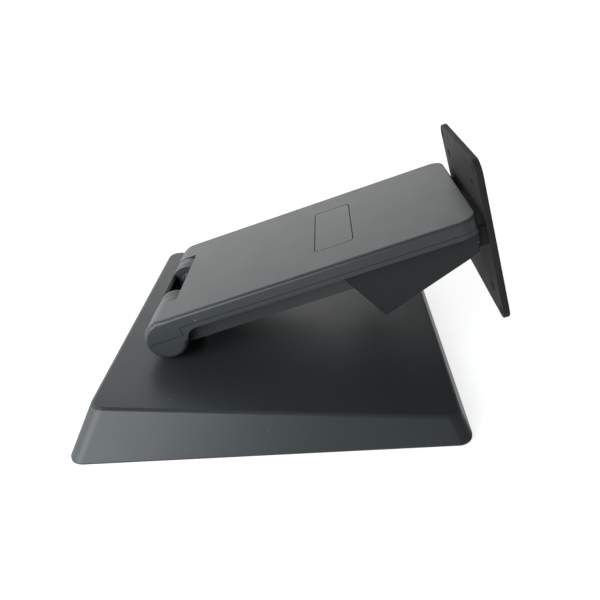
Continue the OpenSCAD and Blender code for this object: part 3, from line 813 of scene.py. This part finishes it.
# %% Hinge guard
GUARD_HALF = POST_IN - 0.05
GUARD_RISE = math.radians(32)
FOOT_GAP = 4.05
GUARD_FOOT_T = 2
clear()
bpy.ops.mesh.primitive_plane_add(size=1, location=(0, BARREL_R - GUARD_T / 2, 0))
bpy.context.object.scale = (2 * GUARD_HALF, GUARD_T, 1)
wrap = named("guard_wrap")
use(wrap)
bpy.ops.object.mode_set(mode="EDIT")
bpy.ops.mesh.select_all(action="SELECT")
bpy.ops.mesh.spin(steps=10, angle=GUARD_RISE, center=(0, 0, 0), axis=(-1, 0, 0), use_normal_flip=False)
bpy.ops.mesh.select_all(action="SELECT")
bpy.ops.mesh.remove_doubles(threshold=0.0005)
bpy.ops.mesh.normals_make_consistent(inside=False)
bpy.ops.object.mode_set(mode="OBJECT")
print("guard wrap reaches", [round(max(v.co[i] for v in wrap.data.vertices), 2) for i in range(3)])
foot_z0 = deck_z - hinge_mm.z + FOOT_GAP
foot_z1 = foot_z0 + GUARD_FOOT_T
combine(wrap, block("guard_wall", (-GUARD_HALF, BARREL_R - GUARD_T, foot_z0),
                    (GUARD_HALF, BARREL_R - 0.3, 0.02)), "UNION")
combine(wrap, block("guard_foot", (-GUARD_HALF, POST_HALF - 1, foot_z0),
                    (GUARD_HALF, FOOT_HALF, foot_z1)), "UNION")
combine(wrap, block("guard_wings", (-BOLT_X - 5, POST_HALF + 0.1, foot_z0),
                    (BOLT_X + 5, FOOT_HALF, foot_z1)), "UNION")
for x in (-BOLT_X, BOLT_X):
    combine(wrap, post("bolt_hole", BOLT_HOLE_R, foot_z0 - 5, foot_z0 + 7, x, BOLT_Y))
soften(wrap, 0.2)
finish_piece(wrap, "hinge_guard", HINGE)

# %% [markdown]
# ## The screen plate
#
# A square of 4.5 mm steel with rounded corners, two square hole patterns for the screen, and four
# countersunk holes over the tilt ears. The corners and then the rim are bevelled before the holes are
# cut, so that the bevels have clean edges to follow.

# %% Screen plate
PLATE = {"half": 57.0, "off": 12.3, "thick": 4.5, "drop": 8.1, "corner": 10.0}
HOLE_R = 2.75
HOLE_CHAMFER = 1.1
PATTERN_HALVES = (37.5, 50.0)
RIM_R = 0.8

back_y = -PLATE["off"]
front_y = back_y - PLATE["thick"]
plate = block("screen_plate", (-PLATE["half"], front_y, -PLATE["drop"] - PLATE["half"]),
              (PLATE["half"], back_y, -PLATE["drop"] + PLATE["half"]))
round_edges(plate, lambda e: along(e, Y_AXIS), PLATE["corner"], 8)
round_edges(plate, lambda e: not along(e, Y_AXIS), RIM_R, 3)


def hole(name, radius, x, z, y0=front_y - 1, y1=back_y + 1, front_radius=None):
    """A straight or tapered hole through the plate, along Y."""
    clear()
    bpy.ops.mesh.primitive_cone_add(vertices=48, radius1=radius, radius2=front_radius or radius,
                                    depth=y1 - y0, location=(x, (y0 + y1) / 2, z),
                                    rotation=(math.pi / 2, 0, 0))
    return named(name)


for half in PATTERN_HALVES:
    for x in (-half, half):
        for z in (-half - PLATE["drop"], half - PLATE["drop"]):
            combine(plate, hole("screen_hole", HOLE_R, x, z))
            combine(plate, hole("hole_chamfer", HOLE_R + HOLE_CHAMFER, x, z, back_y - 0.9,
                                back_y + 0.2, HOLE_R))
EAR_MID = (EAR_IN + EAR_OUT) / 2
EAR_SCREW = 3.6
for x in (-EAR_MID, EAR_MID):
    for z in (-EAR_SCREW, EAR_SCREW):
        combine(plate, hole("ear_hole", SCREW_R, x, z))
        combine(plate, hole("countersink", SCREW_R, x, z, front_y - 0.2, front_y + 1.7, 3.6))
soften(plate, 0.2)
finish_piece(plate, "mounting_plate", HEAD)

# %% [markdown]
# ## Stage, light and camera
#
# The stand is shown on a plain pale floor in the light of three panels. A wide one beyond the right
# rear gives the tops their sheen, a low one at the rear lights the cheeks' round ends, and a small one
# close by at the left rear lights the left side. The surround adds only a little light, but it is
# white where it is seen directly. The floor is a light table: it glows, which keeps it evenly pale and
# fills the undersides. Its glow is weaker near the stand, where the panels light it as well, and
# stronger further out.

# %% Floor
FLOOR_R = 40.0
FLOOR_GLOW_NEAR = 0.78
FLOOR_GLOW_FAR = 0.9
FLOOR_NEAR, FLOOR_FAR = 0.35, 1.1
clear()
bpy.ops.mesh.primitive_circle_add(vertices=96, radius=FLOOR_R, fill_type="NGON",
                                  location=(0, 0, 0))
floor = bpy.context.object
floor.name = "floor"
paper, nodes, links, shader, place = start_material("pale_floor")
shader.inputs["Base Color"].default_value = (0.4, 0.4, 0.4, 1)
shader.inputs["Roughness"].default_value = 1.0
shader.inputs["Specular IOR Level"].default_value = 0.0
shader.inputs["Emission Color"].default_value = (1, 1, 1, 1)
away = nodes.new("ShaderNodeVectorMath")
away.operation = "LENGTH"
links.new(place, away.inputs[0])
rise = nodes.new("ShaderNodeMapRange")
for socket, value in zip(("From Min", "From Max", "To Min", "To Max"),
                         (FLOOR_NEAR, FLOOR_FAR, FLOOR_GLOW_NEAR, FLOOR_GLOW_FAR)):
    rise.inputs[socket].default_value = value
links.new(away.outputs["Value"], rise.inputs["Value"])
links.new(rise.outputs["Result"], shader.inputs["Emission Strength"])
floor.data.materials.append(paper)


# %% Lights
def panel_light(name, azimuth, elevation, distance, width, height, glow, tint=(1, 1, 1)):
    """A soft panel aimed at the stand. Azimuth turns from -Y towards +X. Glow is the brightness."""
    a, e = math.radians(azimuth), math.radians(elevation)
    spot = Vector((math.sin(a) * math.cos(e), -math.cos(a) * math.cos(e), math.sin(e))) * distance
    clear()
    bpy.ops.object.light_add(type="AREA", location=spot)
    lamp = bpy.context.object
    lamp.name = name
    lamp.data.shape = "RECTANGLE"
    lamp.data.size = width
    lamp.data.size_y = height
    lamp.data.energy = glow * math.pi * width * height
    lamp.data.color = tint
    lamp.rotation_euler = (-spot).to_track_quat("-Z", "Y").to_euler()
    print(name, "at", [round(c, 2) for c in spot], "power", round(lamp.data.energy, 1), "W")


panel_light("far_panel", 125, 21, 3.0, 5.0, 3.3, 1.65)
panel_light("rear_panel", 192, 8, 1.5, 1.2, 0.7, 3.0)
panel_light("near_panel", 228, 22, 0.65, 0.55, 0.55, 8.5, (0.93, 0.975, 1.0))

SURROUND = 0.3
world = bpy.data.worlds.new("surround")
bpy.context.scene.world = world
world.use_nodes = True
tree = world.node_tree
seen = tree.nodes["Background"]
seen.inputs["Color"].default_value = (1, 1, 1, 1)
seen.inputs["Strength"].default_value = 1.0
dim = tree.nodes.new("ShaderNodeBackground")
dim.inputs["Color"].default_value = (0.95, 0.98, 1, 1)
dim.inputs["Strength"].default_value = SURROUND
path = tree.nodes.new("ShaderNodeLightPath")
choose = tree.nodes.new("ShaderNodeMixShader")
tree.links.new(path.outputs["Is Camera Ray"], choose.inputs["Fac"])
tree.links.new(dim.outputs["Background"], choose.inputs[1])
tree.links.new(seen.outputs["Background"], choose.inputs[2])
tree.links.new(choose.outputs["Shader"], tree.nodes["World Output"].inputs["Surface"])
bpy.context.scene.view_settings.view_transform = "Standard"

# %% Camera
PITCH = math.radians(27.64)
YAW = math.radians(0.485)
ROLL = math.radians(-2.538)
EYE = joint_at["arm_fold"] + Vector((-396.35, -110.51, 203.24)) * MM
look = Vector((math.cos(YAW) * math.cos(PITCH), -math.sin(YAW) * math.cos(PITCH), -math.sin(PITCH)))
flat_right = Vector((-math.sin(YAW), -math.cos(YAW), 0))
flat_up = flat_right.cross(look)
right = flat_right * math.cos(ROLL) + flat_up * math.sin(ROLL)
up = flat_up * math.cos(ROLL) - flat_right * math.sin(ROLL)

clear()
bpy.ops.object.camera_add(location=EYE)
camera = bpy.context.object
turn = Matrix((right, up, -look)).transposed()
camera.matrix_world = Matrix.Translation(EYE) @ turn.to_4x4()
camera.data.sensor_width = 36
camera.data.lens = 35.574
camera.data.shift_x = -0.063
camera.data.shift_y = -0.0125
camera.data.clip_start = 0.01
bpy.context.scene.camera = camera

# %% Clear the selection
clear()
